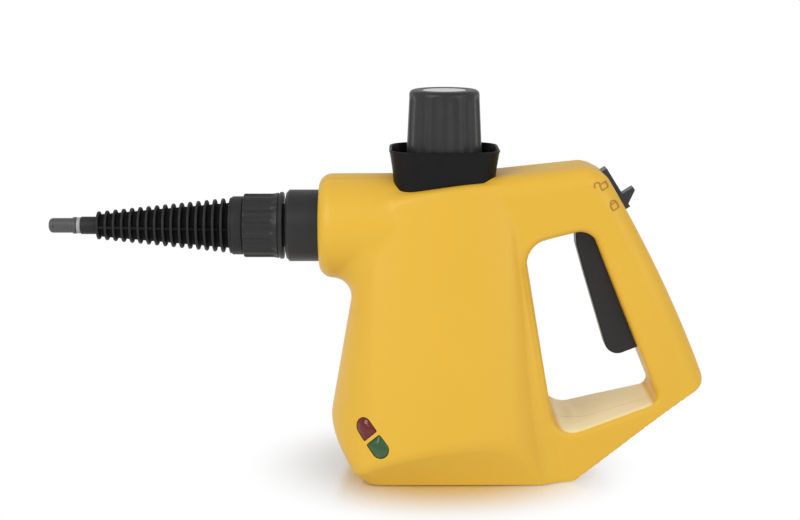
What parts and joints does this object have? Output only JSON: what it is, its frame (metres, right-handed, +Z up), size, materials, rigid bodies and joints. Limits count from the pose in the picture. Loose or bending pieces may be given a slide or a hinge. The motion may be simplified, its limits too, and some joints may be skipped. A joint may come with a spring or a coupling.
{
  "type": "handheld steam cleaner",
  "caption": "Handheld steam cleaner with a closed-loop handle, squeeze trigger, sliding lock, pressed safety cap in a filler collar and a ribbed push-on nozzle.",
  "frame": {"origin": "on the floor plane, below the middle of the overall length and width", "axes": "+X from the nozzle towards the heel of the handle, +Z up out of the filler cap, -Y is the side with the lamps"},
  "size_m": [0.3903, 0.1128, 0.2296],
  "materials": {
    "yellow_shell": "semi-gloss moulded",
    "black_plastic": "satin moulded",
    "brass_fitting": "turned",
    "black_cap": "satin moulded",
    "cap_inlay": "polished",
    "inner_plastic": "moulded",
    "rubber_seal": "moulded",
    "spring_steel": "drawn",
    "cast_metal": "as cast",
    "steel": "bright zinc",
    "copper_pipe": "drawn",
    "coil_wrap": "taped winding",
    "ring_white": "smooth",
    "tip_grey": "satin moulded",
    "trigger_grey": "satin moulded",
    "red_lens": "clear tinted",
    "green_lens": "clear tinted"
  },
  "bodies": {
    "housing": {"left_shell": "yellow_shell", "right_shell": "yellow_shell", "filler_collar": "black_plastic", "neck_nut": "brass_fitting", "filler_neck": "brass_fitting", "boiler_base": "cast_metal", "boiler_gasket": "rubber_seal", "boiler_top": "cast_metal", "boiler_screws": "steel", "boiler_bracket": "steel", "heating_element": "steel", "thermostat": "steel", "thermal_fuse": "inner_plastic", "steam_pipe": "copper_pipe", "valve_body": "brass_fitting", "valve_coil": "coil_wrap", "valve_spring": "spring_steel", "outlet_pipe": "copper_pipe", "outlet_collar": "black_plastic", "trigger_pin": "steel", "trigger_spring": "spring_steel", "microswitch": "inner_plastic", "lock_track": "black_plastic", "red_lens": "red_lens", "green_lens": "green_lens", "lamp_holder": "inner_plastic", "red_lamp": "inner_plastic", "green_lamp": "inner_plastic", "base_feet": "rubber_seal", "housing_screws": "steel", "terminal_block": "inner_plastic", "cord_gland": "black_plastic", "cord_clamp": "inner_plastic"},
    "cap_core": {"cap_core": "inner_plastic", "cap_gasket": "rubber_seal", "cap_spring": "spring_steel"},
    "cap_washer": {"cap_slip_washer": "inner_plastic"},
    "cap": {"cap_shell": "black_cap", "cap_disc": "cap_inlay"},
    "nozzle": {"nozzle_cone": "black_plastic", "tip_ring": "ring_white"},
    "grip": {"grip_ring": "black_plastic"},
    "tip": {"tip_nozzle": "tip_grey"},
    "trigger": {"trigger": "trigger_grey"},
    "button": {"switch_button": "inner_plastic"},
    "lock": {"lock_knob": "black_plastic", "lock_bar": "black_plastic"},
    "plunger": {"valve_plunger": "steel"}
  },
  "joints": [
    {"name": "trigger_pull", "type": "hinge", "parent": "housing", "child": "trigger", "pos_m": [0.124, 0, 0.161], "axis": [0, -1, 0], "range_deg": [0, 8], "stiffness_Nm_per_rad": 1.5, "springref_deg": -8.59, "deforming": ["trigger_spring"]},
    {"name": "switch_press", "type": "slide", "parent": "housing", "child": "button", "axis": [0.9247, 0, 0.3806], "range_m": [0, 0.0036], "stiffness_N_per_m": 60, "springref_m": -0.001},
    {"name": "lock_slide", "type": "slide", "parent": "housing", "child": "lock", "axis": [-0.5358, 0, 0.8443], "range_m": [0, 0.0106]},
    {"name": "cap_lift", "type": "slide", "parent": "housing", "child": "cap_core", "axis": [0, 0, 1], "range_m": [0, 0.07]},
    {"name": "cap_press", "type": "slide", "parent": "cap_core", "child": "cap_washer", "axis": [0, 0, -1], "range_m": [0, 0.0025], "stiffness_N_per_m": 1500, "springref_m": -0.002, "deforming": ["cap_spring"]},
    {"name": "cap_turn", "type": "hinge", "parent": "cap_washer", "child": "cap", "pos_m": [0.0404, 0, 0.2], "axis": [0, 0, 1], "continuous": true},
    {"name": "nozzle_pull", "type": "slide", "parent": "housing", "child": "nozzle", "axis": [-1, 0, 0], "range_m": [0, 0.03]},
    {"name": "grip_turn", "type": "hinge", "parent": "nozzle", "child": "grip", "pos_m": [-0.07, 0, 0.1486], "axis": [1, 0, 0], "range_deg": [0, 45]},
    {"name": "tip_pull", "type": "slide", "parent": "nozzle", "child": "tip", "axis": [-1, 0, 0], "range_m": [0, 0.02]},
    {"name": "valve_lift", "type": "slide", "parent": "housing", "child": "plunger", "axis": [0, 0, 1], "range_m": [0, 0.0015], "stiffness_N_per_m": 60, "springref_m": -0.001, "deforming": ["valve_spring"]}
  ],
  "couplings": [
    {"joint": "switch_press", "follows": "trigger_pull", "m_per_rad": 0.025775},
    {"joint": "valve_lift", "follows": "trigger_pull", "m_per_rad": 0.010735}
  ]
}
